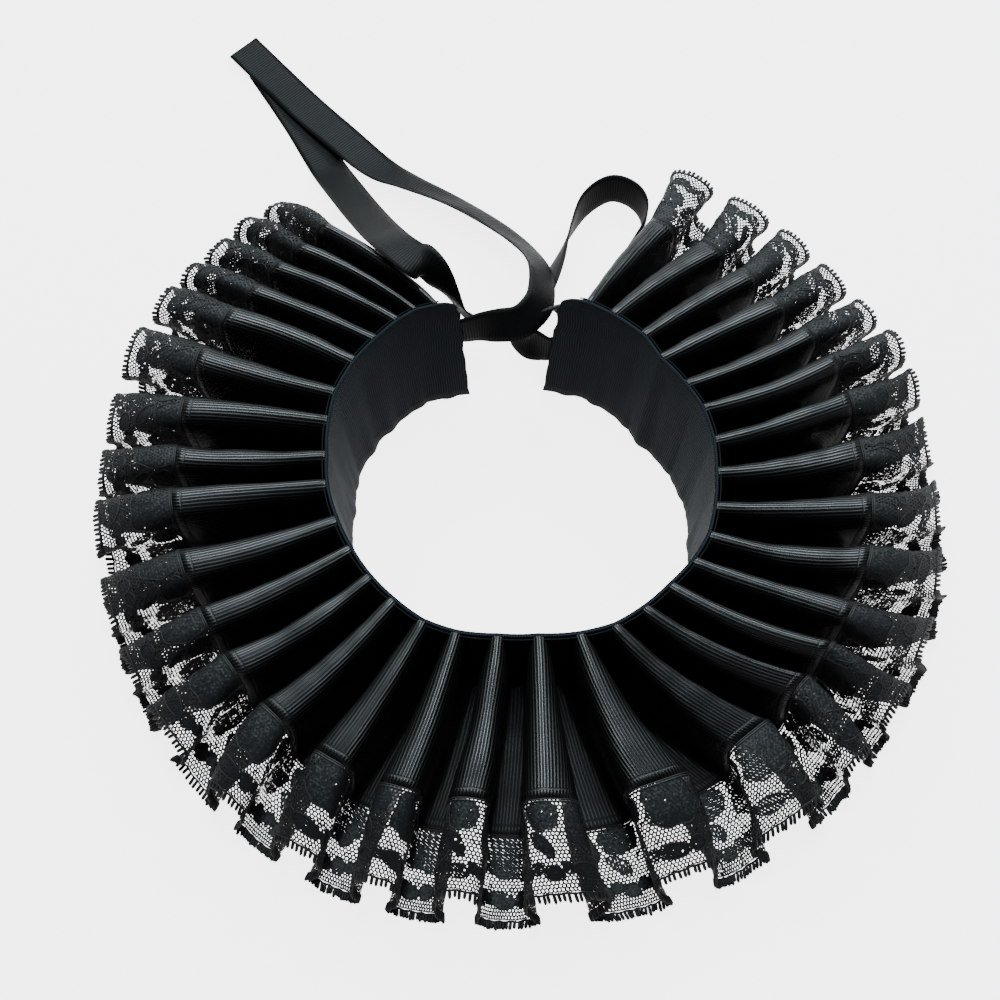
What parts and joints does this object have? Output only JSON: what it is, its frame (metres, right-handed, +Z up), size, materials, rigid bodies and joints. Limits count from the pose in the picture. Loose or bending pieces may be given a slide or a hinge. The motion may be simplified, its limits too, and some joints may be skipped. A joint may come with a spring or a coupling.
{
  "type": "ruff collar",
  "caption": "Black pleated ribbon ruff collar with lace edging and ribbon ties, open at the back, lying flat; goes round a neck.",
  "frame": {"origin": "middle of the bottom of the part's box, on the surface that the collar lies on", "axes": "+Z up from the surface; -Y towards the front of the collar, +Y towards its back opening and the ties; +X towards the wearer's left"},
  "size_m": [0.2851, 0.3432, 0.0593],
  "materials": {
    "band_ribbon": "matt ribbed grosgrain",
    "ruff_ribbon": "ribbed grosgrain, soft sheen on the ribs",
    "lace": "open net and cord lace, matt",
    "tie_ribbon": "ribbed grosgrain"
  },
  "bodies": {
    "root": {"neck_band": "band_ribbon", "ruff_ribbon": "ruff_ribbon", "lace_edging": "lace", "tie_left": "tie_ribbon", "tie_right": "tie_ribbon", "tie_tail": "tie_ribbon"}
  },
  "joints": []
}
